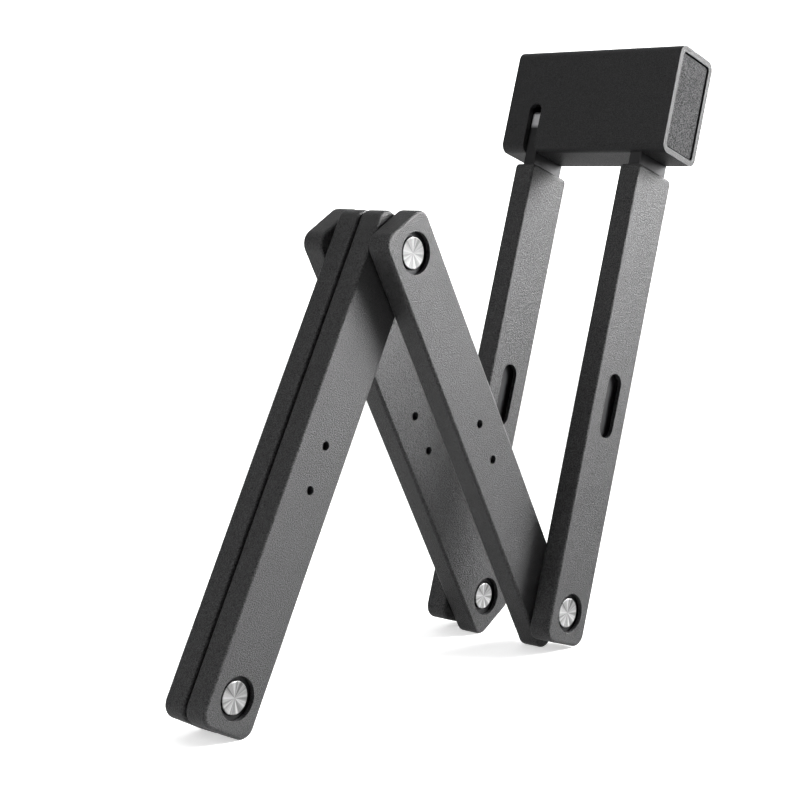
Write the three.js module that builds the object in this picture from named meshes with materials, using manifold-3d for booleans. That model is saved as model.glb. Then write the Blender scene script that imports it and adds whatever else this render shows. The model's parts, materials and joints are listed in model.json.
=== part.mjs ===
// Folding bike lock: a lock body and six flat steel links on five rivets, standing closed.
// Millimetres, +Z up. The rivets run along Y and the links lie in six layers, front (-Y) to rear.
// The origin is on the ground, under the middle of the lock's bounding box.
import * as THREE from 'three';
import { mergeVertices } from 'three/addons/utils/BufferGeometryUtils.js';
import Module from 'manifold-3d';

const wasm = await Module();
wasm.setup();

// ---- driving dimensions -------------------------------------------------------------------
const GAP = 0.3; // air between pieces that touch
const PIVOT = 140; // rivet to rivet along a link
const PITCH = 8.9; // layer to layer
const LAYERS = 6;
const LEAN_LATCH = THREE.MathUtils.degToRad(18.4); // links 1 and 6, and the lock body, lean to +X
const LEAN_FOLD = THREE.MathUtils.degToRad(29); // links 2 and 5 lean to -X, links 3 and 4 to +X

const SLEEVE_W = 21; // moulded sleeve of a link
const SLEEVE_T = 8;
const SLEEVE_END = 10.5; // from a rivet's axis to the end of the sleeve
const SLEEVE_CORNER = 4.5;
const SLEEVE_EDGE = 1.1;
const CORE_W = 16.4; // steel bar inside the sleeve
const CORE_T = 4.4;
const CORE_EDGE = 0.3;
const CORE_TOP_CORNER = 1.5; // where the bars of links 1 and 6 end, inside the lock body
const MOUTH_CORNER = 2; // where the sleeves of links 1 and 6 end, below the lock body

const EYE_R = 6.5; // round window in a sleeve around a rivet
const RIVET_HOLE_R = 4;
const SHANK_R = 3.7;
const HEAD_R = [4.95, 4.95, 4.95, 4.95, 4.45]; // rivets 1 to 5
const TAIL_R = 4.2;
const HEAD_SUNK = 1; // from the sleeve's face down to a rivet head
const HEAD_DISH = 0.15;
const HEAD_FLAT = 0.55; // of the head's radius
const HEAD_EDGE = 0.3;
const TAIL_EDGE = 0.5;
const COUNTERBORE = 0.7;
const WASHER_R = 6.2;

const MARK_R = 1.4; // small moulding hole, a pair at the middle of links 2 to 5
const MARK_OFFSET = 7;
const MARK_SIDES = 8;
const SLOT_W = 7.7; // long window in the sleeves of links 1 and 6
const SLOT_L = 22;
const SLOT_UP = 70.8;
const SLOT_MILLED = 0.5; // the window goes on into the steel

const BODY_UP = 157.4; // rivet 1 to the underside of the lock body
const NECK = 4.5; // bare steel between a sleeve and the lock body
const BODY_L = 68; // lock body along Y, along the links and across them
const BODY_H = 37.6;
const BODY_W = 21;
const BODY_FILLET = 3.3;
const WALL = 2;
const PLATE_T = 3;
const PLATE_SUNK = 0.5;
const ANCHOR_IN = 20; // how far link 1 goes into the lock body
const TONGUE_IN = 15.5; // and link 6
const SIDE_SLOT_H = 17.5;
const SIDE_SLOT_W = CORE_T + 2 * GAP;
const INNER_CORNER = 1.2; // of what sits inside the housing
const PIN_R = 2;
const PIN_UP = [7, 14.5];
const PIN_END = -15; // the pins' holes end BORE_END further in
const BORE_END = 1;

const CYLINDER_UP = 26.5; // lock cylinder, along Y, above the tongue
const SHELL_R = 7;
const SHELL_Y = [2, 30.7];
const SHELL_GROOVE_Y = [6, 27]; // where the sidebar drops in
const SHELL_GROOVE_UP = 6.4; // from the axis
const PLUG_R = 5.5;
const PLUG_Y = [2, 33.6];
const PLUG_BORE_R = 4.4;
const PLUG_FACE = 3;
const KEYWAY_W = 2.8;
const KEYWAY_H = 6.4;
const SCREW_R = 1.25; // holds the cylinder in the block, from above
const SCREW_Y = 25;
const SCREW_UP = 6.2; // from the cylinder's axis
const DISC_COUNT = 6;
const DISC_T = 2.7;
const DISC_Y = 8;
const DISC_SLOT_W = 2.2;
const DISC_KEY_H = 5; // the slot that the key goes through
const DISC_GATE_UP = 3.4; // the notch in the rim, from the axis
const SIDEBAR_W = 1.6;
const SIDEBAR_H = 0.9;
const SIDEBAR_Y = [7.3, 26.2];
const CAM_Y = [-14.6, 1.7];
const SPIGOT = 4;
const CAM_STEPS = 8; // cuts along the groove, for a quarter turn

const BOLT_UP = 8.5;
const BOLT_R = 3;
const BOLT_Y = [-14, 19];
const BOLT_TRAVEL = 7.5; // along +Y, for a quarter turn of the plug
const BOLT_TIP = 0.6; // the step at the bolt's nose
const BOLT_PLAY = 0.5; // around the bolt in link 6
const ARM_W = 5;
const ARM_T = 4;
const ARM_TOP = 20.5;
const FOLLOWER_R = 1.2;
const FOLLOWER_PLAY = 0.4;
const GROOVE_FLOOR = 3;
const BAY_Y = 8; // end of the room in the block for the bolt's tail
const BAY_TOP = 16.5;
const BAY_PLAY = 2; // behind the bolt's tail
const BOLT_REST = 1.7; // bored past the bolt's furthest place
const CAM_PLAY = 0.7; // behind the cam
const ARM_SLOT_W = 6;
const ARM_SLOT_PLAY = 0.5; // at both ends of the arm's travel

const COVER_W = 14; // swivelling cover over the keyhole
const COVER_T = 2;
const COVER_PIN_UP = 9;
const COVER_PIN_R = 1.5;
const COVER_HEAD_R = 2.6;
const COVER_HEAD_T = 0.7;
const COVER_HEAD_EDGE = 0.2;
const COVER_EDGE = 0.4;
const COVER_LOW_CORNER = 5;

const PAST = 1; // how far a tool runs past what it cuts
const COARSE = 20; // sides of a small hole
const ROUND = 24; // sides of a plain round bar
const FINE = 40; // sides of the cylinder's shell
const TURNED_SIDES = 16;
const FOLLOWER_SIDES = 8;
const CORNER_STEPS = 4;
const WELD = 1e-5; // points of one solid nearer than this are one
const SAME_POINT = 1e-3; // and points of one outline

// ---- materials ------------------------------------------------------------------------------
const metal = (color, roughness) =>
  new THREE.MeshStandardMaterial({ color, roughness, metalness: 1 });
const plastic = (color, roughness) =>
  new THREE.MeshStandardMaterial({ color, roughness, metalness: 0 });
const sleeveBlack = plastic(0x1a1a1c, 0.55);
const bodyBlack = plastic(0x17171a, 0.45);
const coreSteel = metal(0x55575a, 0.4);
const rivetSteel = metal(0xb9bbbd, 0.3);
const plateGrey = metal(0x8a8b8e, 0.5);
const brass = metal(0xb49a5a, 0.35);

// ---- shapes ---------------------------------------------------------------------------------
// Every solid is made upright: X across a link, Y through its thickness, Z along it.

function solid(geometry) {
  const bare = geometry.clone();
  bare.deleteAttribute('normal');
  bare.deleteAttribute('uv');
  const merged = mergeVertices(bare, WELD);
  return new wasm.Manifold(
    new wasm.Mesh({
      numProp: 3,
      vertProperties: new Float32Array(merged.attributes.position.array),
      triVerts: new Uint32Array(merged.index.array),
    }),
  );
}

function toGeometry(manifold) {
  const mesh = manifold.getMesh();
  const geometry = new THREE.BufferGeometry();
  const positions = new Float32Array(mesh.vertProperties);
  geometry.setAttribute('position', new THREE.BufferAttribute(positions, 3));
  geometry.setIndex(new THREE.BufferAttribute(new Uint32Array(mesh.triVerts), 1));
  geometry.computeVertexNormals();
  return geometry;
}

// a rectangle with one radius for its lower corners and one for its upper corners
function rounded(x0, x1, z0, z1, low, high = low, steps = CORNER_STEPS) {
  const corners = [
    [x1 - low, z0 + low, low, -Math.PI / 2],
    [x1 - high, z1 - high, high, 0],
    [x0 + high, z1 - high, high, Math.PI / 2],
    [x0 + low, z0 + low, low, Math.PI],
  ];
  const points = [];
  for (const [x, z, radius, start] of corners) {
    for (let step = 0; step <= steps; step += 1) {
      const angle = start + ((Math.PI / 2) * step) / steps;
      const point = new THREE.Vector2(x + radius * Math.cos(angle), z + radius * Math.sin(angle));
      const last = points.at(-1);
      if (!last || last.distanceTo(point) > SAME_POINT) points.push(point);
    }
  }
  if (points[0].distanceTo(points.at(-1)) < SAME_POINT) points.pop();
  return points;
}

// an outline in X and Z made as thick as y0 to y1, its outer edges rounded by edge
function slab(outline, y0, y1, edge = 0, hole = null) {
  const shape = new THREE.Shape(outline);
  if (hole) shape.holes.push(new THREE.Path(hole));
  const geometry = new THREE.ExtrudeGeometry(shape, {
    depth: y1 - y0 - 2 * edge,
    bevelEnabled: edge > 0,
    bevelThickness: edge,
    bevelSize: edge,
    bevelOffset: -edge,
    bevelSegments: edge > 1 ? 2 : 1,
  });
  geometry.rotateX(Math.PI / 2);
  geometry.translate(0, y1 - edge, 0);
  return solid(geometry);
}

function box(x0, x1, y0, y1, z0, z1) {
  const geometry = new THREE.BoxGeometry(x1 - x0, y1 - y0, z1 - z0);
  geometry.translate((x0 + x1) / 2, (y0 + y1) / 2, (z0 + z1) / 2);
  return solid(geometry);
}

// a round bar from y0 to y1 whose axis is z up
function bar(radius, y0, y1, z = 0, sides = ROUND) {
  const geometry = new THREE.CylinderGeometry(radius, radius, y1 - y0, sides);
  geometry.translate(0, (y0 + y1) / 2, z);
  return solid(geometry);
}

// a round bar standing along Z
function post(radius, z0, z1, y) {
  const geometry = new THREE.CylinderGeometry(radius, radius, z1 - z0, COARSE);
  geometry.rotateX(Math.PI / 2);
  geometry.translate(0, y, (z0 + z1) / 2);
  return solid(geometry);
}

// a solid of revolution about Y from [radius, y] corners, which start and end on the axis
function turned(corners, z = 0, sides = TURNED_SIDES) {
  const points = corners.map(([radius, y]) => new THREE.Vector2(radius, y));
  const geometry = new THREE.LatheGeometry(points, sides);
  geometry.translate(0, 0, z);
  return solid(geometry);
}

const cut = (body, ...tools) => tools.reduce((rest, tool) => rest.subtract(tool), body);
const join = (...bodies) => bodies.reduce((all, body) => all.add(body));
const layerY = (layer) => (layer - (LAYERS - 1) / 2) * PITCH;

// ---- links ----------------------------------------------------------------------------------
const FRONT = -1;
const REAR = 1;

// the steel bar of links 2 to 5: round ends, and at each end a counterbore on one side
function foldingCore(lowSide, highSide) {
  const half = CORE_W / 2;
  const shape = rounded(-half, half, -half, PIVOT + half, half);
  return cut(
    slab(shape, -CORE_T / 2, CORE_T / 2, CORE_EDGE),
    rivetBore(0, lowSide),
    rivetBore(PIVOT, highSide),
  );
}

// the hole for a rivet and, on the side away from the next link, its counterbore
function rivetBore(z, side) {
  const face = (side * CORE_T) / 2;
  const floor = face - side * COUNTERBORE;
  const past = face + side * PAST;
  return join(
    bar(RIVET_HOLE_R, -CORE_T, CORE_T, z, COARSE),
    bar(HEAD_R[0] + GAP, Math.min(floor, past), Math.max(floor, past), z, COARSE),
  );
}

// the steel bar of links 1 and 6, which runs on into the lock body
function latchCore(side, reach) {
  const half = CORE_W / 2;
  const face = -CORE_T / 2;
  const shape = rounded(-half, half, -half, BODY_UP + reach, half, CORE_TOP_CORNER);
  return cut(
    slab(shape, face, -face, CORE_EDGE),
    rivetBore(0, side),
    slab(slotShape(), face - PAST, face + SLOT_MILLED),
  );
}

function slotShape() {
  const radius = SLOT_W / 2;
  const low = SLOT_UP - SLOT_L / 2;
  return rounded(-radius, radius, low, low + SLOT_L, radius);
}

// the sleeve of links 2 to 5, hollow for the bar, with windows over both rivets
function foldingSleeve() {
  const half = SLEEVE_W / 2;
  const outline = rounded(-half, half, -SLEEVE_END, PIVOT + SLEEVE_END, SLEEVE_CORNER);
  const marks = [-1, 1].map((way) =>
    bar(MARK_R, -SLEEVE_T, SLEEVE_T, PIVOT / 2 + way * MARK_OFFSET, MARK_SIDES),
  );
  const windows = [0, PIVOT].map((z) => bar(EYE_R, -SLEEVE_T, SLEEVE_T, z, COARSE));
  const inner = CORE_W / 2 + GAP;
  const room = rounded(-inner, inner, -inner, PIVOT + inner, inner);
  return cut(
    slab(outline, -SLEEVE_T / 2, SLEEVE_T / 2, SLEEVE_EDGE),
    slab(room, -CORE_T / 2 - GAP, CORE_T / 2 + GAP),
    ...windows,
    ...marks,
  );
}

// the sleeve of links 1 and 6, open at the top for the neck
function latchSleeve() {
  const half = SLEEVE_W / 2;
  const inner = CORE_W / 2 + GAP;
  const top = BODY_UP - NECK;
  const outline = rounded(-half, half, -SLEEVE_END, top, SLEEVE_CORNER, MOUTH_CORNER);
  const room = rounded(-inner, inner, -inner, top + inner, inner);
  return cut(
    slab(outline, -SLEEVE_T / 2, SLEEVE_T / 2, SLEEVE_EDGE),
    slab(room, -CORE_T / 2 - GAP, CORE_T / 2 + GAP),
    bar(EYE_R, -SLEEVE_T, SLEEVE_T, 0, COARSE),
    slab(slotShape(), -SLEEVE_T, 0),
  );
}

// a rivet through two links, centred between them; its head faces the front
function rivet(headRadius) {
  const head = PITCH / 2 + SLEEVE_T / 2 - HEAD_SUNK;
  const seat = PITCH / 2 + CORE_T / 2 - COUNTERBORE + GAP;
  return turned([
    [0, -head + HEAD_DISH],
    [headRadius * HEAD_FLAT, -head],
    [headRadius - HEAD_EDGE, -head],
    [headRadius, -head + HEAD_EDGE],
    [headRadius, -seat],
    [SHANK_R, -seat],
    [SHANK_R, seat],
    [TAIL_R, seat],
    [TAIL_R, head - TAIL_EDGE],
    [TAIL_R - TAIL_EDGE, head],
    [0, head],
  ]);
}

function washer() {
  const half = PITCH / 2 - CORE_T / 2 - GAP;
  const hole = bar(RIVET_HOLE_R, -half - PAST, half + PAST, 0, COARSE);
  return cut(bar(WASHER_R, -half, half, 0, COARSE), hole);
}

// ---- lock body, Z measured from its underside -----------------------------------------------
const END_Y = BODY_L / 2;
const INNER_W = BODY_W / 2 - WALL;
const CORE_BLOCK_END = END_Y - PLATE_T - GAP;
const FIRST = layerY(0);
const LAST = layerY(LAYERS - 1);
const PIN_START = -CORE_BLOCK_END + 1;

function housing() {
  const half = BODY_W / 2;
  const shape = rounded(-half, half, 0, BODY_H, BODY_FILLET);
  const room = rounded(-INNER_W, INNER_W, WALL, BODY_H - WALL, BODY_FILLET - WALL);
  const slot = SIDE_SLOT_W / 2;
  const wallReach = [-half - PAST, -half + WALL + PAST];
  const floorReach = [-PAST, WALL + PAST];
  const roundTop = new THREE.CylinderGeometry(slot, slot, WALL + 2 * PAST, ROUND);
  roundTop.rotateZ(Math.PI / 2);
  roundTop.translate(-half + WALL / 2, LAST, SIDE_SLOT_H - slot);
  return cut(
    slab(shape, -END_Y, END_Y, 0, room),
    box(-INNER_W, INNER_W, FIRST - slot, FIRST + slot, ...floorReach),
    box(-half - PAST, INNER_W, LAST - slot, LAST + slot, ...floorReach),
    box(...wallReach, LAST - slot, LAST + slot, -PAST, SIDE_SLOT_H - slot),
    solid(roundTop),
  );
}

function endPlate(y0, y1) {
  const half = INNER_W - GAP;
  const low = WALL + GAP;
  return slab(rounded(-half, half, low, BODY_H - low, INNER_CORNER), y0, y1);
}

function rearPlate() {
  return cut(
    endPlate(END_Y - PLATE_T, END_Y),
    bar(PLUG_R + GAP, END_Y - PLATE_T - PAST, END_Y + PAST, CYLINDER_UP),
    bar(COVER_PIN_R + GAP, END_Y - PLATE_T - PAST, END_Y + PAST, COVER_PIN_UP, COARSE),
  );
}

// the steel block that holds link 1, the cylinder and the bolt
function coreBlock() {
  const half = INNER_W - GAP;
  const past = half + PAST;
  const slot = SIDE_SLOT_W / 2;
  const low = WALL + GAP;
  const armLow = BOLT_Y[0] - ARM_SLOT_PLAY;
  const armHigh = BOLT_Y[0] + ARM_T + BOLT_TRAVEL + ARM_SLOT_PLAY;
  const armX = ARM_SLOT_W / 2;
  const outline = rounded(-half, half, low, BODY_H - low, INNER_CORNER, INNER_CORNER, 2);
  return cut(
    slab(outline, -CORE_BLOCK_END, CORE_BLOCK_END),
    box(-past, past, FIRST - slot, FIRST + slot, 0, ANCHOR_IN + GAP),
    box(-past, past, LAST - slot, LAST + slot, 0, SIDE_SLOT_H),
    box(-past, past, BOLT_Y[0] - BAY_PLAY, BAY_Y, 0, BAY_TOP),
    box(-armX, armX, armLow, armHigh, BAY_TOP - PAST, CYLINDER_UP - PLUG_R - GAP),
    bar(SHELL_R + GAP, CAM_Y[0] - CAM_PLAY, END_Y, CYLINDER_UP, FINE),
    bar(BOLT_R + GAP, BAY_Y - PAST, BOLT_Y[1] + BOLT_TRAVEL + BOLT_REST, BOLT_UP),
    ...PIN_UP.map((z) => bar(PIN_R + GAP, -END_Y, PIN_END + BORE_END, z, COARSE)),
    post(SCREW_R + GAP, CYLINDER_UP, BODY_H, SCREW_Y),
  );
}

function cylinderShell() {
  const groove = SIDEBAR_W / 2 + GAP;
  return cut(
    bar(SHELL_R, ...SHELL_Y, CYLINDER_UP, FINE),
    bar(PLUG_R + GAP, SHELL_Y[0] - PAST, SHELL_Y[1] + PAST, CYLINDER_UP),
    box(-groove, groove, ...SHELL_GROOVE_Y, CYLINDER_UP, CYLINDER_UP + SHELL_GROOVE_UP),
    post(SCREW_R + GAP, CYLINDER_UP + SCREW_UP, CYLINDER_UP + SHELL_R + PAST, SCREW_Y),
  );
}

function keyPlug() {
  const way = KEYWAY_W / 2;
  const wayUp = [CYLINDER_UP - KEYWAY_H / 2, CYLINDER_UP + KEYWAY_H / 2];
  const side = SIDEBAR_W / 2 + GAP;
  const [y0, y1] = PLUG_Y;
  const [bar0, bar1] = SIDEBAR_Y;
  return cut(
    bar(PLUG_R, y0, y1, CYLINDER_UP),
    bar(PLUG_BORE_R, y0 - PAST, y1 - PLUG_FACE, CYLINDER_UP),
    box(-way, way, y1 - PLUG_FACE - PAST, y1 + PAST, ...wayUp),
    box(-side, side, bar0 - GAP, bar1 + GAP, CYLINDER_UP, CYLINDER_UP + PLUG_R + PAST),
  );
}

// one rotating disc, with the key's slot and the gate that the sidebar drops into
function detainerDisc(index) {
  const y0 = DISC_Y + index * (DISC_T + GAP);
  const y1 = y0 + DISC_T;
  const slot = DISC_SLOT_W / 2;
  const keyUp = [CYLINDER_UP - DISC_KEY_H / 2, CYLINDER_UP + DISC_KEY_H / 2];
  const gateUp = [CYLINDER_UP + DISC_GATE_UP, CYLINDER_UP + PLUG_BORE_R + PAST];
  return cut(
    bar(PLUG_BORE_R - GAP, y0, y1, CYLINDER_UP),
    box(-slot, slot, y0 - PAST, y1 + PAST, ...keyUp),
    box(-slot, slot, y0 - PAST, y1 + PAST, ...gateUp),
  );
}

// the barrel on the plug's inner end: its helical groove drives the bolt
function boltCam() {
  const radius = FOLLOWER_R + FOLLOWER_PLAY;
  const depth = PLUG_R + PAST - GROOVE_FLOOR;
  const tools = [];
  for (let step = -1; step <= CAM_STEPS + 1; step += 1) {
    const part = step / CAM_STEPS;
    const tool = new THREE.CylinderGeometry(radius, radius, depth, FOLLOWER_SIDES);
    tool.rotateX(Math.PI / 2);
    tool.translate(0, 0, -GROOVE_FLOOR - depth / 2);
    tool.rotateY((-Math.PI / 2) * part);
    tool.translate(0, BOLT_Y[0] + ARM_T / 2 + BOLT_TRAVEL * part, CYLINDER_UP);
    tools.push(solid(tool));
  }
  return cut(
    join(
      bar(PLUG_R, ...CAM_Y, CYLINDER_UP),
      bar(PLUG_BORE_R - GAP, CAM_Y[1] - PAST, CAM_Y[1] + SPIGOT, CYLINDER_UP),
    ),
    ...tools,
  );
}

// round bolt, the arm that rises from its tail and the follower in the cam's groove
function lockingBolt() {
  const [y0, y1] = BOLT_Y;
  return join(
    bar(BOLT_R, y0, y1 - BOLT_TIP, BOLT_UP),
    bar(BOLT_R - BOLT_TIP, y1 - BOLT_TIP - PAST, y1, BOLT_UP),
    box(-ARM_W / 2, ARM_W / 2, y0, y0 + ARM_T, BOLT_UP, ARM_TOP),
    post(FOLLOWER_R, ARM_TOP - PAST, CYLINDER_UP - GROOVE_FLOOR - GAP, y0 + ARM_T / 2),
  );
}

function keyholeCover() {
  const half = COVER_W / 2;
  const low = COVER_PIN_UP - COVER_LOW_CORNER;
  const y0 = END_Y + GAP;
  const y1 = y0 + COVER_T;
  const shape = rounded(-half, half, low, CYLINDER_UP + half, COVER_LOW_CORNER, half);
  return cut(
    slab(shape, y0, y1, COVER_EDGE),
    bar(COVER_PIN_R + GAP, y0 - PAST, y1 + PAST, COVER_PIN_UP, COARSE),
    bar(COVER_HEAD_R + GAP, y1 - COVER_HEAD_T - GAP, y1 + PAST, COVER_PIN_UP),
  );
}

function coverPin() {
  const y0 = END_Y - PLATE_T + GAP;
  const y1 = END_Y + GAP + COVER_T;
  return turned(
    [
      [0, y0],
      [COVER_PIN_R, y0],
      [COVER_PIN_R, y1 - COVER_HEAD_T],
      [COVER_HEAD_R, y1 - COVER_HEAD_T],
      [COVER_HEAD_R, y1 - COVER_HEAD_EDGE],
      [COVER_HEAD_R - COVER_HEAD_EDGE, y1],
      [0, y1],
    ],
    COVER_PIN_UP,
    ROUND,
  );
}

// ---- assembly -------------------------------------------------------------------------------
const lock = new THREE.Group();

// where the rivets stand: rivet 1 above the ground, rivets 4 and 5 behind rivets 2 and 1
const cornerIn = SLEEVE_END - SLEEVE_CORNER;
const footUp = cornerIn * (Math.sin(LEAN_FOLD) + Math.cos(LEAN_FOLD)) + SLEEVE_CORNER;
const rise = PIVOT * Math.cos(LEAN_FOLD);
const run = PIVOT * Math.sin(LEAN_FOLD);
const bodyTop = BODY_UP + BODY_H - BODY_FILLET;
const bodySide = BODY_W / 2 - BODY_FILLET;
const farX = bodyTop * Math.sin(LEAN_LATCH) + bodySide * Math.cos(LEAN_LATCH) + BODY_FILLET;
const nearX = -2 * run - footUp;
const rivetX = -(farX + nearX) / 2;
const middleY = -(COVER_T + GAP) / 2;

function place(x, y, z, lean) {
  const group = new THREE.Group();
  group.position.set(rivetX + x, middleY + y, footUp + z);
  group.rotation.y = lean;
  lock.add(group);
  return group;
}

function add(group, name, body, material) {
  const mesh = new THREE.Mesh(toGeometry(body), material);
  mesh.name = name;
  group.add(mesh);
}

// each link from the rivet at its lower end, front to rear
const links = [
  { layer: 0, x: 0, lean: LEAN_LATCH, latch: ANCHOR_IN, low: FRONT },
  { layer: 1, x: 0, lean: -LEAN_FOLD, low: REAR, high: FRONT },
  { layer: 2, x: -2 * run, lean: LEAN_FOLD, low: FRONT, high: REAR },
  { layer: 3, x: -2 * run, lean: LEAN_FOLD, low: REAR, high: FRONT },
  { layer: 4, x: 0, lean: -LEAN_FOLD, low: FRONT, high: REAR },
  { layer: 5, x: 0, lean: LEAN_LATCH, latch: TONGUE_IN, low: REAR },
];
for (const { layer, x, lean, latch, low, high } of links) {
  const group = place(x, layerY(layer), 0, lean);
  let core = latch ? latchCore(low, latch) : foldingCore(low, high);
  if (layer === 0) {
    const holes = PIN_UP.map((z) => bar(PIN_R + GAP, -CORE_T, CORE_T, BODY_UP + z, COARSE));
    core = cut(core, ...holes);
  }
  if (layer === LAYERS - 1) {
    core = cut(core, bar(BOLT_R + BOLT_PLAY, -CORE_T, CORE_T, BODY_UP + BOLT_UP));
  }
  add(group, `link_${layer + 1}_core`, core, coreSteel);
  add(group, `link_${layer + 1}_sleeve`, latch ? latchSleeve() : foldingSleeve(), sleeveBlack);
}

const rivetPlaces = [
  [0, 0],
  [-run, rise],
  [-2 * run, 0],
  [-run, rise],
  [0, 0],
];
rivetPlaces.forEach(([x, z], index) => {
  const group = place(x, layerY(index + 0.5), z, 0);
  add(group, `rivet_${index + 1}`, rivet(HEAD_R[index]), rivetSteel);
  add(group, `washer_${index + 1}`, washer(), rivetSteel);
});

const body = place(BODY_UP * Math.sin(LEAN_LATCH), 0, BODY_UP * Math.cos(LEAN_LATCH), LEAN_LATCH);
add(body, 'housing', housing(), bodyBlack);
add(body, 'front_plate', endPlate(-END_Y + PLATE_SUNK, -END_Y + PLATE_T), plateGrey);
add(body, 'rear_plate', rearPlate(), plateGrey);
add(body, 'core_block', coreBlock(), coreSteel);
PIN_UP.forEach((z, index) => {
  const pin = bar(PIN_R, PIN_START, PIN_END, z, COARSE);
  add(body, `anchor_pin_${index + 1}`, pin, rivetSteel);
});
add(body, 'cylinder_shell', cylinderShell(), brass);
const screwZ = [CYLINDER_UP + SCREW_UP + GAP, BODY_H - WALL - GAP];
add(body, 'cylinder_screw', post(SCREW_R, ...screwZ, SCREW_Y), coreSteel);
add(body, 'key_plug', keyPlug(), brass);
for (let index = 0; index < DISC_COUNT; index += 1) {
  add(body, `disc_${index + 1}`, detainerDisc(index), rivetSteel);
}
const sidebarX = SIDEBAR_W / 2;
const sidebarZ = [CYLINDER_UP + PLUG_BORE_R, CYLINDER_UP + PLUG_BORE_R + SIDEBAR_H];
add(body, 'sidebar', box(-sidebarX, sidebarX, ...SIDEBAR_Y, ...sidebarZ), coreSteel);
add(body, 'bolt_cam', boltCam(), coreSteel);
add(body, 'locking_bolt', lockingBolt(), rivetSteel);
add(body, 'keyhole_cover', keyholeCover(), bodyBlack);
add(body, 'cover_pin', coverPin(), rivetSteel);

export default lock;
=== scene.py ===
"""Folding bike lock: sleeved steel links on five rivets, closed through a keyed lock body.

Every shape is worked out upright: X across a piece, Y along the rivets, Z along a link or up the
lock body. A placing then leans it and carries it to where the frame says.
"""
import json
import math

import bpy
import numpy as np
from mathutils import Matrix, Vector


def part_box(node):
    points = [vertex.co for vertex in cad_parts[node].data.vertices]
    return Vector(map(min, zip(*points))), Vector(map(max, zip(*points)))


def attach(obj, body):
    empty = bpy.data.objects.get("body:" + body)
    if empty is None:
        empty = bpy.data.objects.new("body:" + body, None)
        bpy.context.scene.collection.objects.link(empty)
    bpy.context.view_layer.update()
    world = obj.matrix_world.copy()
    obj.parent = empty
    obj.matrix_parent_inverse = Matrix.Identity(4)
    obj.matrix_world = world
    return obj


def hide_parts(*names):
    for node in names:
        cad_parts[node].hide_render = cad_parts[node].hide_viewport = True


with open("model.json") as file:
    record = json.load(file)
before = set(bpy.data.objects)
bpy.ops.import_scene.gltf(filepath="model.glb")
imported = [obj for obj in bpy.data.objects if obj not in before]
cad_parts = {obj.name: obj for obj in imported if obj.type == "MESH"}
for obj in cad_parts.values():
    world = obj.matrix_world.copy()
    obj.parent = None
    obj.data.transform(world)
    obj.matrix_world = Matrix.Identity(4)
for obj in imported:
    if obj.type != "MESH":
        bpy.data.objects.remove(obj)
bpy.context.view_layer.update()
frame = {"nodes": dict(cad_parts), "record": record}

MM = 0.001

# ---- sizes, in millimetres ------------------------------------------------------------------
GAP = 0.3
PAST = 1.0  # how far a cutter runs past what it cuts
LEAST_CORNER = 0.05  # a corner that is meant to be square
AXIS_R = 0.02  # where a turned face closes on its axis
PIVOT = 140.0
SLEEVE_W, SLEEVE_T, SLEEVE_END = 21.0, 8.0, 10.5
SLEEVE_CORNER, LATCH_TOP_CORNER, SLEEVE_EDGE = 4.5, 1.6, 1.0
ROOM_PAST = 12.0  # the hollow of an end link's sleeve is open at the top
CORE_W, CORE_T = 16.4, 4.4
EYE_R = 6.5
RIVET_HOLE_R, SHANK_R = 4.0, 3.7
HEAD_R, SMALL_HEAD_R, TAIL_R = 4.95, 4.45, 4.2
HEAD_SUNK, COUNTERBORE = 1.0, 0.7
HEAD_DISH, HEAD_LIP, HEAD_FLAT_IN, TAIL_ROUND, TAIL_CROWN = 0.12, 0.3, 0.5, 0.8, 0.05
LAYERS, PITCH = 6, 8.9
WASHER_R, WASHER_EDGE = 6.2, 0.2
MARK_R, MARK_OFFSET = 1.4, 7.0
SLOT_W, SLOT_L, SLOT_UP, SLOT_MILLED = 7.7, 22.0, 70.8, 0.5
BODY_UP, NECK = 157.4, 4.5
BODY_L, BODY_H, BODY_W, BODY_FILLET, WALL = 68.0, 37.6, 21.0, 3.3, 2.0
BODY_RIM = 0.35
PLATE_T, PLATE_SUNK, PLATE_CORNER = 3.0, 0.5, 1.2
SIDE_SLOT_W, SIDE_SLOT_H = CORE_T + 2 * GAP, 17.5
ANCHOR_IN, TONGUE_IN, CORE_TOP_CORNER = 20.0, 15.5, 1.5
RUBBED_UP = 13.4  # where the bright end of the tongue starts, above the lock body's foot
PIN_R, PIN_UP = 2.0, (7.0, 14.5)
BOLT_UP, BOLT_R, BOLT_PLAY = 8.5, 3.0, 0.5
CYLINDER_UP = 26.5
PLUG_R = 5.5
COVER_W, COVER_T, COVER_EDGE, COVER_TAPER = 14.0, 2.0, 0.6, 2.0
COVER_PIN_UP, COVER_PIN_R, COVER_HEAD_R, COVER_HEAD_T = 9.0, 1.5, 2.6, 0.7
COVER_HEAD_EDGE, COVER_HEAD_BREAK, COVER_SEAT = 0.25, 0.08, 1.0
FINE_EDGE = 0.3  # the small round on machined and moulded rims
SHARP_FROM = math.radians(36)  # edges that turn more than this stay crisp

# ---- places, from the frame -----------------------------------------------------------------
joints = {joint["name"]: joint for joint in frame["record"]["behaviour"]["joints"]}
mounts = {mount["name"]: mount for mount in frame["record"]["mounts"]}


def pivot(name):
    """A joint's place in millimetres."""
    return np.array(joints[name]["pos_m"]) / MM


def middle_y(node):
    """The middle of a CAD node along Y, in millimetres."""
    low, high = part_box(node)
    return (low[1] + high[1]) / 2 / MM


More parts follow.
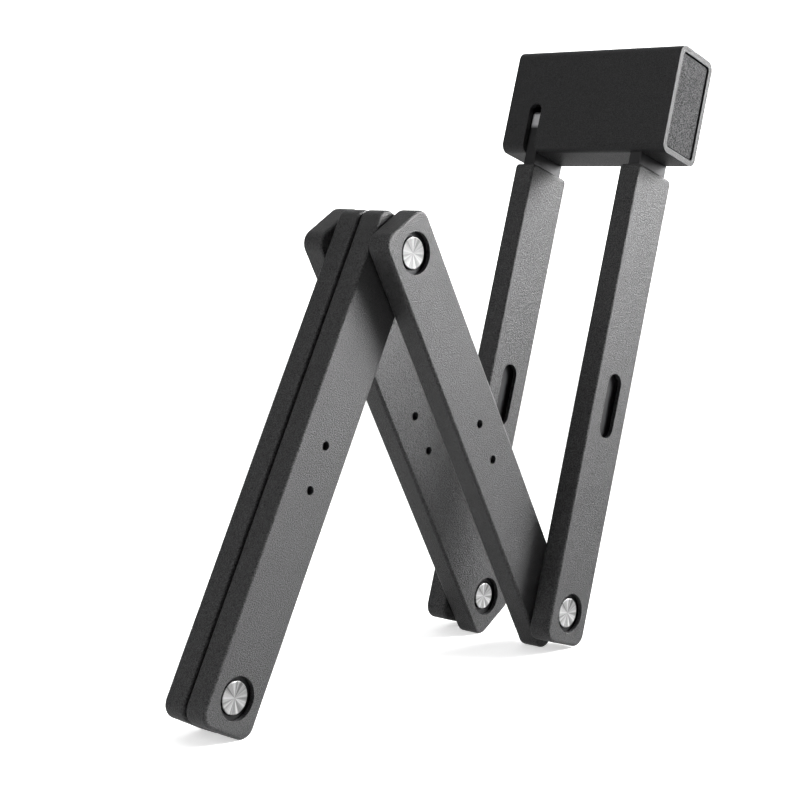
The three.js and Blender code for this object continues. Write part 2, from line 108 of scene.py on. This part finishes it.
RIVET_1, RIVET_2 = pivot("pivot_1"), pivot("pivot_2")
FOLD_LEAN = math.atan2(RIVET_2[0] - RIVET_1[0], RIVET_2[2] - RIVET_1[2])
LATCH_LEAN = math.atan2(mounts["body_top"]["axis"][0], mounts["body_top"]["axis"][2])
RIVET_3 = RIVET_2 - np.array([-math.sin(FOLD_LEAN), 0, math.cos(FOLD_LEAN)]) * PIVOT
BODY_FOOT = RIVET_1 + np.array([math.sin(LATCH_LEAN), 0, math.cos(LATCH_LEAN)]) * BODY_UP
BODY_MIDDLE_Y = middle_y("housing")


class Place:
    """Leans upright points about Y, so that up turns towards +X, then moves them."""

    def __init__(self, x, y, z, lean=0.0):
        self.shift = np.array([x, y, z])
        self.cos, self.sin = math.cos(lean), math.sin(lean)

    def __call__(self, points):
        x, y, z = np.asarray(points, float).T
        turned = np.stack([x * self.cos + z * self.sin, y, z * self.cos - x * self.sin], axis=1)
        return (turned + self.shift) * MM


# ---- surfaces -------------------------------------------------------------------------------
def outline(x0, x1, z0, z1, low, high=None, steps=14):
    """A rectangle's edge with round corners: each corner is a quarter circle swept from its own
    start angle, and the straight sides are what joins them. Anticlockwise, as (x, z) rows."""
    high = low if high is None else high
    quarter = np.linspace(0, math.pi / 2, steps)
    corners = (
        (x1 - low, z0 + low, low, -math.pi / 2),
        (x1 - high, z1 - high, high, 0),
        (x0 + high, z1 - high, high, math.pi / 2),
        (x0 + low, z0 + low, low, math.pi),
    )
    arcs = [
        np.stack([x + r * np.cos(start + quarter), z + r * np.sin(start + quarter)], axis=1)
        for x, z, r, start in corners
    ]
    return np.concatenate(arcs)


def lofted(rings):
    """Closed skin over a stack of rings (ring, point, xyz): a quad between each pair of neighbours
    along both parameters, and one flat face over the first and the last ring."""
    rings = np.asarray(rings)
    count, around = rings.shape[:2]
    index = np.arange(count * around).reshape(count, around)
    after = np.roll(index, -1, axis=1)
    quads = np.stack([index[:-1], after[:-1], after[1:], index[1:]], axis=-1).reshape(-1, 4)
    faces = quads.tolist() + [index[0, ::-1].tolist(), index[-1].tolist()]
    return rings.reshape(-1, 3), faces


def slab(x0, x1, z0, z1, y0, y1, low, high=None, edge=0.0, edge_steps=5):
    """A plate from y0 to y1 whose outline is a rounded rectangle. Its rim is a quarter circle of
    radius edge: at angle a the outline draws in by edge(1 - sin a) and y moves by
    edge(1 - cos a)."""
    high = low if high is None else high
    angles = np.linspace(0, math.pi / 2, edge_steps) if edge else np.array([math.pi / 2])
    draws = edge * (1 - np.sin(angles))
    rises = edge * (1 - np.cos(angles))
    levels = [(d, y0 + r) for d, r in zip(draws, rises)]
    levels += [(d, y1 - r) for d, r in zip(draws[::-1], rises[::-1])]
    rings = []
    for draw, y in levels:
        ring = outline(x0 + draw, x1 - draw, z0 + draw, z1 - draw,
                       max(low - draw, LEAST_CORNER), max(high - draw, LEAST_CORNER))
        rings.append(np.stack([ring[:, 0], np.full(len(ring), y), ring[:, 1]], axis=1))
    points, faces = lofted(rings)
    return points, [face[::-1] for face in faces]


def turned(profile, x=0.0, z=0.0, sides=72):
    """A solid of revolution about Y: each (radius, y) of the profile becomes a ring of points
    (radius cos t, y, radius sin t); the ends are flat faces."""
    profile = np.asarray(profile, float)
    t = np.linspace(0, 2 * math.pi, sides, endpoint=False)
    radius, y = profile[:, :1], profile[:, 1:]
    rings = np.stack(
        [x + radius * np.cos(t), y + 0 * t, z + radius * np.sin(t)], axis=-1
    )
    points, faces = lofted(rings)
    return points, [face[::-1] for face in faces]


def rod(radius, y0, y1, z=0.0, x=0.0, sides=72):
    """A plain round bar along Y."""
    return turned([(radius, y0), (radius, y1)], x, z, sides)


def cross_rod(radius, x0, x1, y, z, sides=48):
    """A plain round bar along X."""
    points, faces = rod(radius, x0, x1, sides=sides)
    points = np.stack([points[:, 1], points[:, 0] + y, points[:, 2] + z], axis=1)
    return points, [face[::-1] for face in faces]


def block(x0, x1, y0, y1, z0, z1):
    """A rectangular cutter with barely rounded upright edges."""
    return slab(x0, x1, z0, z1, y0, y1, LEAST_CORNER)


# ---- pieces ---------------------------------------------------------------------------------
def make_object(name, points, faces):
    mesh = bpy.data.meshes.new(name)
    mesh.from_pydata(np.asarray(points).tolist(), [], faces)
    mesh.update()
    thing = bpy.data.objects.new(name, mesh)
    bpy.context.scene.collection.objects.link(thing)
    return thing


def bake_modifiers(thing):
    """Turns the object's modified form into its mesh."""
    bpy.context.view_layer.update()
    shown = thing.evaluated_get(bpy.context.evaluated_depsgraph_get())
    mesh = bpy.data.meshes.new_from_object(shown)
    thing.modifiers.clear()
    old, thing.data = thing.data, mesh
    bpy.data.meshes.remove(old)


def carve(name, body, cutters, rim=FINE_EDGE):
    """The body less each cutter, its sharp rims rounded."""
    thing = make_object(name, *body)
    tools = []
    for number, cutter in enumerate(cutters):
        tool = make_object(f"{name}_tool_{number}", *cutter)
        cutting = thing.modifiers.new("cut", "BOOLEAN")
        cutting.operation = "DIFFERENCE"
        cutting.solver = "EXACT"
        cutting.object = tool
        tools.append(tool)
    if rim:
        rounding = thing.modifiers.new("rim", "BEVEL")
        rounding.width = rim
        rounding.segments = 3
        rounding.limit_method = "ANGLE"
        rounding.angle_limit = SHARP_FROM
        rounding.miter_outer = "MITER_ARC"
    bake_modifiers(thing)
    for tool in tools:
        mesh = tool.data
        bpy.data.objects.remove(tool)
        bpy.data.meshes.remove(mesh)
    return thing


def finish_piece(thing, place, body, material, slot, *nodes):
    """Puts the piece in its place in the frame, shades it, hangs it on its body and hides the CAD
    parts that it stands for.
    """
    mesh = thing.data
    points = np.empty(len(mesh.vertices) * 3)
    mesh.vertices.foreach_get("co", points)
    mesh.vertices.foreach_set("co", place(points.reshape(-1, 3)).ravel())
    mesh.update()
    mesh.shade_smooth()
    mesh.set_sharp_from_angle(angle=SHARP_FROM)
    even = thing.modifiers.new("even", "WEIGHTED_NORMAL")
    even.keep_sharp = True
    even.weight = 100
    bake_modifiers(thing)
    thing.data.materials.clear()
    thing.data.materials.append(material)
    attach(thing, body)
    if nodes:
        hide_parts(*nodes)
    return thing


# ---- materials ------------------------------------------------------------------------------
class Link:
    """A socket that takes part in arithmetic: each operation adds a Math node."""

    def __init__(self, tree, socket):
        self.tree, self.socket = tree, socket

    def math(self, operation, first, second=0.0):
        return self.tree.node("ShaderNodeMath", {"operation": operation}, [first, second])

    def __add__(self, other): return self.math("ADD", self, other)
    def __radd__(self, other): return self.math("ADD", other, self)
    def __sub__(self, other): return self.math("SUBTRACT", self, other)
    def __rsub__(self, other): return self.math("SUBTRACT", other, self)
    def __mul__(self, other): return self.math("MULTIPLY", self, other)
    def __rmul__(self, other): return self.math("MULTIPLY", other, self)
    def __truediv__(self, other): return self.math("DIVIDE", self, other)
    def __pow__(self, other): return self.math("POWER", self, other)


class Finish:
    """One procedural material around a Principled shader."""

    def __init__(self, name, **constants):
        self.material = bpy.data.materials.new(name)
        self.material.use_nodes = True
        self.nodes = self.material.node_tree.nodes
        self.links = self.material.node_tree.links
        self.shader = self.nodes["Principled BSDF"]
        for socket, value in constants.items():
            self.shader.inputs[socket.replace("_", " ")].default_value = value

    def node(self, kind, settings=None, inputs=(), output=0):
        """Adds a node: its settings first, then the value or link of each input."""
        made = self.nodes.new(kind)
        for name, value in (settings or {}).items():
            if name == "stops":
                for stop, (at, grey) in zip(made.color_ramp.elements, value):
                    stop.position, stop.color = at, (grey, grey, grey, 1)
            else:
                setattr(made, name, value)
        pairs = inputs.items() if isinstance(inputs, dict) else enumerate(inputs)
        for key, value in pairs:
            if isinstance(value, Link):
                self.links.new(value.socket, made.inputs[key])
            else:
                made.inputs[key].default_value = value
        return Link(self, made.outputs[output])

    def place(self):
        return self.node("ShaderNodeTexCoord", output="Object")

    def noise(self, scale, detail=2.0, roughness=0.5, at=None):
        """Noise with features about 1 / scale metres across."""
        inputs = {"Vector": at or self.place(), "Scale": scale, "Detail": detail}
        return self.node("ShaderNodeTexNoise", {}, {**inputs, "Roughness": roughness})

    def range(self, value, low, high, to_low, to_high):
        inputs = [value, low, high, to_low, to_high]
        return self.node("ShaderNodeMapRange", {}, inputs)

    def blend(self, factor, first, second):
        """Mixes two colours."""
        inputs = {0: factor, 6: (*first, 1), 7: (*second, 1)}
        return self.node("ShaderNodeMix", {"data_type": "RGBA", "clamp_factor": False}, inputs, 2)

    def bump(self, height, distance, strength=1.0):
        inputs = {"Strength": strength, "Distance": distance, "Height": height}
        return self.node("ShaderNodeBump", {}, inputs)

    def set(self, **values):
        for socket, value in values.items():
            self.links.new(value.socket, self.shader.inputs[socket.replace("_", " ")])
        return self


# darkest base colour of the rivet faces: the dark of the grooves and the painted shade of the sheen
# sectors
RIVET_GROOVE_AND_PAINTED_SHADE = 0.04
RUBBED_FADE = 0.0015  # metres over which the rubbed steel fades in
RUBBED_GAIN = 14


def sleeve_finish():
    """Black moulded plastic: a fine leathery grain, and faint wide differences in gloss."""
    finish = Finish("moulded_black", Specular_IOR_Level=0.27)
    grain = finish.noise(2600, 3, 0.6)
    cloud = finish.noise(60, 2)
    speck = finish.range(grain, 0.38, 0.62, 0, 1)
    finish.set(
        Base_Color=finish.blend(speck, (0.001, 0.001, 0.0011), (0.042, 0.042, 0.043)),
        Roughness=finish.range(grain * 0.8 + cloud * 0.2, 0.35, 0.65, 0.31, 0.53),
        Normal=finish.bump(grain, 0.00024, 1.0),
    )
    return finish.material


def shell_finish():
    """Black powder coat: round granules, a little glossier on their tops."""
    finish = Finish("powder_black", Specular_IOR_Level=0.2)
    grain = finish.noise(3300, 2, 0.5)
    cloud = finish.noise(45, 2)
    speck = finish.range(grain, 0.35, 0.65, 0, 1)
    finish.set(
        Base_Color=finish.blend(speck, (0.007, 0.007, 0.0072), (0.024, 0.024, 0.025)),
        Roughness=finish.range(grain * 0.7 + cloud * 0.3, 0.35, 0.65, 0.36, 0.54),
        Normal=finish.bump(grain, 0.00012, 1.0),
    )
    return finish.material


def plate_finish():
    """Dark metallic paint with bright flakes, on the lock body's end plates."""
    finish = Finish("metallic_grey", Specular_IOR_Level=0.04)
    flake = finish.noise(2900, 2, 0.6)
    cloud = finish.noise(80, 2)
    sparkle = finish.range(flake, 0.42, 0.7, 0, 1)
    finish.set(
        Base_Color=finish.blend(sparkle, (0.002, 0.002, 0.0023), (0.07, 0.07, 0.072)),
        Roughness=finish.range(cloud, 0.3, 0.7, 0.46, 0.56),
        Normal=finish.bump(flake, 0.00012, 1.0),
    )
    return finish.material


def rivet_finish(name, centre, light):
    """Steel faced on a lathe: rings of fine grooves round the rivet's axis. The sectors of sheen
    that such rings would show are painted into the base colour by the bearing alone: painted
    highlight and painted shade."""
    finish = Finish(name, Metallic=1.0)
    place = finish.place()
    parts = finish.node("ShaderNodeSeparateXYZ", {}, [place])
    x, _, z = (Link(finish, output) for output in parts.socket.node.outputs)
    x, z = x - centre[0] * MM, z - centre[2] * MM
    radius = (x * x + z * z + 1e-9) ** 0.5
    ring = finish.node("ShaderNodeCombineXYZ", {}, [radius, 0.0, 0.0])
    bearing = finish.node("ShaderNodeCombineXYZ", {}, [x / radius, z / radius, 0.0])
    groove = finish.noise(5200, 2, 0.7, ring)
    # painted sheen: bright and dark sectors round the axis, painted into the base colour by bearing
    painted_sheen_wedge = finish.range(finish.noise(1.9, 3, 0.7, bearing), 0.36, 0.64, 0, 1)
    cloud = finish.noise(700, 2)
    finish.set(
        # base colour: the painted sheen sectors and the grooves, up to the given light level, which
        # is itself painted per rivet
        Base_Color=finish.blend(painted_sheen_wedge * 0.75 + groove * 0.25, (RIVET_GROOVE_AND_PAINTED_SHADE,) * 3, (light,) * 3),
        Roughness=finish.range(cloud, 0.3, 0.7, 0.4, 0.5),
        Normal=finish.bump(groove, 0.00006, 1.0),
    )
    return finish.material


def steel_finish(name, dark, light, roughness, stretch, bright_above=None):
    """Steel with grinding lines along one direction: noise drawn out by stretch. Above the height
    bright_above, if one is given, the metal is rubbed bright."""
    finish = Finish(name, Metallic=1.0)
    place = finish.place()
    drawn = finish.node("ShaderNodeMapping", {}, {"Vector": place, "Scale": stretch})
    lines = finish.noise(1500, 3, 0.6, drawn)
    cloud = finish.noise(90, 3)
    if bright_above is not None:
        parts = finish.node("ShaderNodeSeparateXYZ", {}, [place])
        height = Link(finish, parts.socket.node.outputs["Z"])
        rubbed = finish.range(height, bright_above - RUBBED_FADE, bright_above, 0, 1)
        cloud = cloud + rubbed * RUBBED_GAIN
    finish.set(
        Base_Color=finish.blend(cloud, dark, light),
        Roughness=finish.range(lines, 0.3, 0.7, roughness, roughness + 0.14),
        Normal=finish.bump(lines, 0.00003, 0.5),
    )
    return finish.material


DARK_STEEL = ((0.016, 0.016, 0.0165), (0.045, 0.045, 0.046), 0.38, (1, 1, 0.08))
RUBBED_ABOVE = (BODY_FOOT[2] + RUBBED_UP * math.cos(LATCH_LEAN)) * MM
LATHE_LINES = (1, 0.1, 1)

sleeve_black = sleeve_finish()
shell_black = shell_finish()
plate_grey = plate_finish()
core_steel = steel_finish("dark_steel", *DARK_STEEL)
tongue_steel = steel_finish("rubbed_steel", *DARK_STEEL, RUBBED_ABOVE)
bright_steel = steel_finish("bright_steel", (0.3, 0.3, 0.31), (0.42, 0.42, 0.43), 0.28, LATHE_LINES)
brass = steel_finish("machined_brass", (0.5, 0.36, 0.14), (0.62, 0.46, 0.2), 0.25, LATHE_LINES)


# ---- links ----------------------------------------------------------------------------------
def eye(z):
    """The round window in a sleeve over a rivet."""
    return rod(EYE_R, -SLEEVE_T, SLEEVE_T, z)


def core_room(z1, high):
    """The hollow in a sleeve: the steel bar grown by the gap."""
    half = CORE_W / 2 + GAP
    depth = CORE_T / 2 + GAP
    return slab(-half, half, -half, z1, -depth, depth, half, high)


def slot_window(y0, y1):
    """The long window of an end link."""
    half = SLOT_W / 2
    return slab(-half, half, SLOT_UP - SLOT_L / 2, SLOT_UP + SLOT_L / 2, y0, y1, half)


def folding_sleeve(name):
    """The sleeve of a link with a rivet at each end."""
    half = SLEEVE_W / 2
    body = slab(-half, half, -SLEEVE_END, PIVOT + SLEEVE_END, -SLEEVE_T / 2, SLEEVE_T / 2,
                SLEEVE_CORNER, edge=SLEEVE_EDGE)
    marks = [
        rod(MARK_R, -SLEEVE_T, SLEEVE_T, PIVOT / 2 + way * MARK_OFFSET, sides=32) for way in (-1, 1)
    ]
    room = core_room(PIVOT + CORE_W / 2 + GAP, None)
    return carve(name, body, [room, eye(0), eye(PIVOT), *marks])


def latch_sleeve(name):
    """The sleeve of an end link, open at the top where its bar runs on into the lock body."""
    half = SLEEVE_W / 2
    top = BODY_UP - NECK
    body = slab(-half, half, -SLEEVE_END, top, -SLEEVE_T / 2, SLEEVE_T / 2,
                SLEEVE_CORNER, LATCH_TOP_CORNER, edge=SLEEVE_EDGE)
    room = core_room(top + ROOM_PAST, None)
    return carve(name, body, [room, eye(0), slot_window(-SLEEVE_T, 0)])


def rivet_bore(z, side):
    """A rivet's hole through a bar, counterbored on the side where the head or tail sits."""
    face = side * CORE_T / 2
    floor, past = face - side * COUNTERBORE, face + side * PAST
    return [
        rod(RIVET_HOLE_R, -CORE_T, CORE_T, z),
        rod(HEAD_R + GAP, min(floor, past), max(floor, past), z),
    ]


def folding_core(name, low_side, high_side):
    """The steel bar of a link with a rivet at each end."""
    half = CORE_W / 2
    body = slab(-half, half, -half, PIVOT + half, -CORE_T / 2, CORE_T / 2, half)
    return carve(name, body, rivet_bore(0, low_side) + rivet_bore(PIVOT, high_side))


def latch_core(name, side, reach, holes):
    """The steel bar of an end link, which reaches into the lock body and is bored there."""
    half = CORE_W / 2
    body = slab(-half, half, -half, BODY_UP + reach, -CORE_T / 2, CORE_T / 2,
                half, CORE_TOP_CORNER)
    milled = slot_window(-CORE_T / 2 - PAST, -CORE_T / 2 + SLOT_MILLED)
    bores = [rod(radius, -CORE_T, CORE_T, BODY_UP + up, sides=40) for up, radius in holes]
    return carve(name, body, rivet_bore(0, side) + [milled] + bores)


def rivet(name, head_r):
    """Head, shank and closed tail in one turned profile; the head's face is slightly dished."""
    head = PITCH / 2 + SLEEVE_T / 2 - HEAD_SUNK
    seat = PITCH / 2 + CORE_T / 2 - COUNTERBORE + GAP
    face = [
        (r, -head + HEAD_DISH * (1 - (r / head_r) ** 2))
        for r in np.linspace(AXIS_R, head_r - HEAD_FLAT_IN, 18)
    ]
    lip = [
        (head_r - HEAD_LIP + HEAD_LIP * math.sin(a), -head + HEAD_LIP - HEAD_LIP * math.cos(a))
        for a in np.linspace(0, math.pi / 2, 6)
    ]
    tail = [
        (TAIL_R - TAIL_ROUND + TAIL_ROUND * math.cos(a),
         head - TAIL_ROUND + TAIL_ROUND * math.sin(a))
        for a in np.linspace(0, math.pi / 2, 8)
    ]
    shank = [(head_r, -seat), (SHANK_R, -seat), (SHANK_R, seat), (TAIL_R, seat)]
    profile = face + lip + shank + tail + [(AXIS_R, head + TAIL_CROWN)]
    return make_object(name, *turned(profile, sides=96))


def washer(name):
    """The spacer between two links, with broken outer edges."""
    half = PITCH / 2 - CORE_T / 2 - GAP
    inner = WASHER_R - WASHER_EDGE
    body = turned([(inner, -half), (WASHER_R, -half + WASHER_EDGE),
                   (WASHER_R, half - WASHER_EDGE), (inner, half)])
    return carve(name, body, [rod(RIVET_HOLE_R, -half - PAST, half + PAST)], 0)


FRONT, REAR = -1, 1
LINKS = (
    # body, rivet at the lower end, lean, side of the lower and of the upper counterbore
    ("lock_body", RIVET_1, LATCH_LEAN, FRONT, None),
    ("link_2", RIVET_1, FOLD_LEAN, REAR, FRONT),
    ("link_3", RIVET_3, -FOLD_LEAN, FRONT, REAR),
    ("link_4", RIVET_3, -FOLD_LEAN, REAR, FRONT),
    ("link_5", RIVET_1, FOLD_LEAN, FRONT, REAR),
    ("link_6", RIVET_1, LATCH_LEAN, REAR, None),
)
for number, (body, foot, lean, low, high) in enumerate(LINKS, 1):
    sleeve_name, core_name = f"link_{number}_sleeve", f"link_{number}_core"
    place = Place(foot[0], middle_y(sleeve_name), foot[2], lean)
    if high is None:
        sleeve = latch_sleeve(f"sleeve_{number}")
        first = number == 1
        holes = [(up, PIN_R + GAP) for up in PIN_UP] if first else [(BOLT_UP, BOLT_R + BOLT_PLAY)]
        core = latch_core(f"core_{number}", low, ANCHOR_IN if first else TONGUE_IN, holes)
    else:
        sleeve = folding_sleeve(f"sleeve_{number}")
        core = folding_core(f"core_{number}", low, high)
    finish_piece(sleeve, place, body, sleeve_black, "sleeve", sleeve_name)
    steel = tongue_steel if number == 6 else core_steel
    finish_piece(core, place, body, steel, "core_steel", core_name)

RIVETS = (
    # body, axis, radius of the head, brightest base colour of its face: painted light, set per
    # rivet, darker on the two top rivets where the light falls hardest
    ("lock_body", RIVET_1, HEAD_R, 0.5),
    ("link_2", RIVET_2, HEAD_R, 0.19),
    ("link_3", RIVET_3, HEAD_R, 0.42),
    ("link_5", RIVET_2, HEAD_R, 0.2),
    ("link_5", RIVET_1, SMALL_HEAD_R, 0.5),
)
for number, (body, centre, head_r, painted_light_tone) in enumerate(RIVETS, 1):
    place = Place(centre[0], middle_y(f"rivet_{number}"), centre[2])
    # each rivet gets its own copy of the finish, lit or shaded by its painted brightest colour
    faced = rivet_finish(f"faced_steel_painted_light_{number}", centre, painted_light_tone)
    stud = rivet(f"stud_{number}", head_r)
    finish_piece(stud, place, body, faced, "rivet_steel", f"rivet_{number}")
    spacer = washer(f"spacer_{number}")
    finish_piece(spacer, place, body, bright_steel, "rivet_steel", f"washer_{number}")


# ---- lock body ------------------------------------------------------------------------------
END_Y = BODY_L / 2
INNER = BODY_W / 2 - WALL
LAST_Y = (LAYERS - 1) / 2 * PITCH
FIRST_Y = -LAST_Y
body_place = Place(BODY_FOOT[0], BODY_MIDDLE_Y, BODY_FOOT[2], LATCH_LEAN)


def housing():
    """The lock body's tube, with a hole in its foot for link 1 and a side slot for link 6."""
    half, slot = BODY_W / 2, SIDE_SLOT_W / 2
    body = slab(-half, half, 0, BODY_H, -END_Y, END_Y, BODY_FILLET)
    inside = slab(-INNER, INNER, WALL, BODY_H - WALL, -END_Y - PAST, END_Y + PAST,
                  BODY_FILLET - WALL)
    floor = (-PAST, WALL + PAST)
    outer, through = -half - PAST, -half + WALL + PAST
    top = SIDE_SLOT_H - slot
    cutters = [
        inside,
        block(-INNER, INNER, FIRST_Y - slot, FIRST_Y + slot, *floor),
        block(outer, INNER, LAST_Y - slot, LAST_Y + slot, *floor),
        block(outer, through, LAST_Y - slot, LAST_Y + slot, -PAST, top),
        cross_rod(slot, outer, through, LAST_Y, top),
    ]
    return carve("shell", body, cutters, BODY_RIM)


def end_plate(name, y0, y1, cutters=()):
    """A plate that closes one end of the lock body's tube."""
    half, low = INNER - GAP, WALL + GAP
    body = slab(-half, half, low, BODY_H - low, y0, y1, PLATE_CORNER)
    return carve(name, body, cutters, BODY_RIM)


def keyhole_cover():
    """The swivelling dust cover, with a hole and a seat for its pin."""
    half, y0 = COVER_W / 2, END_Y + GAP
    y1 = y0 + COVER_T
    body = slab(-half, half, COVER_PIN_UP - half + COVER_TAPER, CYLINDER_UP + half, y0, y1,
                half - COVER_TAPER, half, edge=COVER_EDGE)
    pin = rod(COVER_PIN_R + GAP, y0 - PAST, y1 + PAST, COVER_PIN_UP, sides=40)
    seat = rod(COVER_HEAD_R + GAP, y0 + COVER_SEAT, y1 + PAST, COVER_PIN_UP, sides=48)
    return carve("cover", body, [pin, seat])


def cover_pin():
    """The pin the cover turns on, in one turned profile with a broken head."""
    y0, y1 = END_Y - PLATE_T + GAP, END_Y + GAP + COVER_T
    head = COVER_HEAD_R
    under, edge, broken = y1 - COVER_HEAD_T, COVER_HEAD_EDGE, COVER_HEAD_BREAK
    shank = [(AXIS_R, y0), (COVER_PIN_R, y0), (COVER_PIN_R, under)]
    profile = shank + [(head, under), (head, y1 - edge), (head - broken, y1 - broken),
                       (head - edge, y1), (AXIS_R, y1)]
    return make_object("cover_stud", *turned(profile, z=COVER_PIN_UP, sides=48))


finish_piece(housing(), body_place, "lock_body", shell_black, "body_shell", "housing")
front = end_plate("front_lid", -END_Y + PLATE_SUNK, -END_Y + PLATE_T)
finish_piece(front, body_place, "lock_body", plate_grey, "end_plate", "front_plate")
rear_holes = [
    rod(PLUG_R + GAP, END_Y - PLATE_T - PAST, END_Y + PAST, CYLINDER_UP),
    rod(COVER_PIN_R + GAP, END_Y - PLATE_T - PAST, END_Y + PAST, COVER_PIN_UP, sides=40),
]
rear = end_plate("rear_lid", END_Y - PLATE_T, END_Y, rear_holes)
finish_piece(rear, body_place, "lock_body", plate_grey, "end_plate", "rear_plate")
cover = keyhole_cover()
finish_piece(cover, body_place, "keyhole_cover", shell_black, "body_shell", "keyhole_cover")
finish_piece(cover_pin(), body_place, "lock_body", bright_steel, "rivet_steel", "cover_pin")

# what stays as it is in the frame takes its finish from its slot
KEPT_FINISH = {"core_steel": core_steel, "rivet_steel": bright_steel, "cylinder_brass": brass}
replaced = {"housing", "front_plate", "rear_plate", "keyhole_cover", "cover_pin"}
for part in frame["record"]["subparts"]:
    node = part["node"]
    if node in replaced or node.startswith(("link_", "rivet_", "washer_")):
        continue
    shown = frame["nodes"][node]
    shown.data.materials.clear()
    shown.data.materials.append(KEPT_FINISH[part["material_slot"]])


# ---- studio ---------------------------------------------------------------------------------
FLOOR_FRONT, FLOOR_REACH, BEND_R, WALL_RISE, HALF_WIDTH = -2.2, 1.6, 1.2, 3.0, 4.5
FLOOR_BOUNCE, FLOOR_SEEN, FLOOR_GLOW = 0.46, 0.86, 0.6
WORLD_DIM = 0.1


def sweep():
    """A floor that turns up into a wall: a straight run, a quarter circle and a straight rise,
    as a profile carried along a level line square to the view. The camera sees it paler than
    the light that it throws back."""
    reach, radius, rise, width = FLOOR_REACH, BEND_R, WALL_RISE, HALF_WIDTH
    bend = np.linspace(0, math.pi / 2, 24)
    run = np.concatenate([[FLOOR_FRONT], reach + radius * np.sin(bend), [reach + radius]])
    up = np.concatenate([[0.0], radius - radius * np.cos(bend), [radius + rise]])
    across = np.array([-width, width])
    away = np.array([-BACK[0], -BACK[1]]) / math.hypot(BACK[0], BACK[1])
    side = np.array([away[1], -away[0]])
    grid = run[:, None, None] * away + across[None, :, None] * side
    height = np.broadcast_to(up[:, None, None], (*grid.shape[:2], 1))
    points = np.concatenate([grid, height], axis=2).reshape(-1, 3)
    rows = np.arange(len(run) - 1)[:, None] * 2
    faces = rows + np.array([0, 1, 3, 2])
    thing = make_object("floor", points, faces.tolist())
    thing.data.shade_smooth()
    paper = Finish("pale_paper", Roughness=0.9, Emission_Strength=FLOOR_GLOW)
    fibre = paper.noise(300, 2)
    seen = paper.node("ShaderNodeLightPath")
    shade = paper.range(seen, 0, 1, FLOOR_BOUNCE, FLOOR_SEEN) + fibre * 0.04
    paper.set(Base_Color=shade, Emission_Color=shade)
    thing.data.materials.append(paper.material)


def area_light(name, azimuth, elevation, distance, size, power, aim, spread):
    """A soft box at that bearing from the aim, facing it."""
    light = bpy.data.lights.new(name, "AREA")
    light.spread = math.radians(spread)
    light.shape = "RECTANGLE"
    light.size, light.size_y = size
    light.energy = power
    thing = bpy.data.objects.new(name, light)
    bpy.context.scene.collection.objects.link(thing)
    a, e = math.radians(azimuth), math.radians(elevation)
    back = np.array([math.sin(a) * math.cos(e), -math.cos(a) * math.cos(e), math.sin(e)])
    thing.location = aim + back * distance
    thing.rotation_euler = Vector((-back).tolist()).to_track_quat("-Z", "Y").to_euler()
    return thing


AZIMUTH, ELEVATION, ROLL = math.radians(-48.99), math.radians(7.97), math.radians(-0.32)
AIM = np.array([-0.0233, -0.0069, 0.0894])
DISTANCE, LENS = 0.5421, 79.24
BACK = np.array([
    math.sin(AZIMUTH) * math.cos(ELEVATION),
    -math.cos(AZIMUTH) * math.cos(ELEVATION),
    math.sin(ELEVATION),
])


def camera():
    """Looks along the view from its distance, rolled a little."""
    right = np.array([math.cos(AZIMUTH), math.sin(AZIMUTH), 0.0])
    up = np.cross(BACK, right)
    across = right * math.cos(ROLL) + up * math.sin(ROLL)
    upward = up * math.cos(ROLL) - right * math.sin(ROLL)
    eye_point = AIM + BACK * DISTANCE
    data = bpy.data.cameras.new("camera")
    data.lens = LENS
    data.clip_start = 0.01
    thing = bpy.data.objects.new("camera", data)
    bpy.context.scene.collection.objects.link(thing)
    columns = np.column_stack([across, upward, BACK, eye_point])
    thing.matrix_world = Matrix([*columns.tolist(), (0, 0, 0, 1)])
    bpy.context.scene.camera = thing


LIGHTS = (
    # name, azimuth and elevation in degrees, distance, size, power, aim, spread
    ("right_low", 54, 12, 1.1, (0.7, 0.7), 8.8, AIM, 180),
    ("right_high", 54, 22, 0.65, (0.45, 0.45), 2.7, AIM + (0, 0, 0.1), 38),
    ("left", -100, 30, 1.5, (0.8, 0.8), 9.5, AIM, 180),
    ("overhead", -50, 86, 2.2, (2.4, 2.4), 26, AIM, 180),
    ("wall", -49, 35, 1.5, (2.4, 0.8), 40, AIM - BACK * (2.6, 2.6, 0), 180),
)


def surroundings():
    """White where the camera looks past the floor, and dim for everything that it lights."""
    world = bpy.data.worlds.new("studio")
    bpy.context.scene.world = world
    world.use_nodes = True
    nodes, links = world.node_tree.nodes, world.node_tree.links
    background = nodes["Background"]
    background.inputs["Color"].default_value = (1, 1, 1, 1)
    level = nodes.new("ShaderNodeMapRange")
    level.inputs["To Min"].default_value = WORLD_DIM
    level.inputs["To Max"].default_value = 1.0
    links.new(nodes.new("ShaderNodeLightPath").outputs["Is Camera Ray"], level.inputs["Value"])
    links.new(level.outputs["Result"], background.inputs["Strength"])
    bpy.context.scene.view_settings.view_transform = "Standard"


camera()
sweep()
for light in LIGHTS:
    area_light(*light)
surroundings()
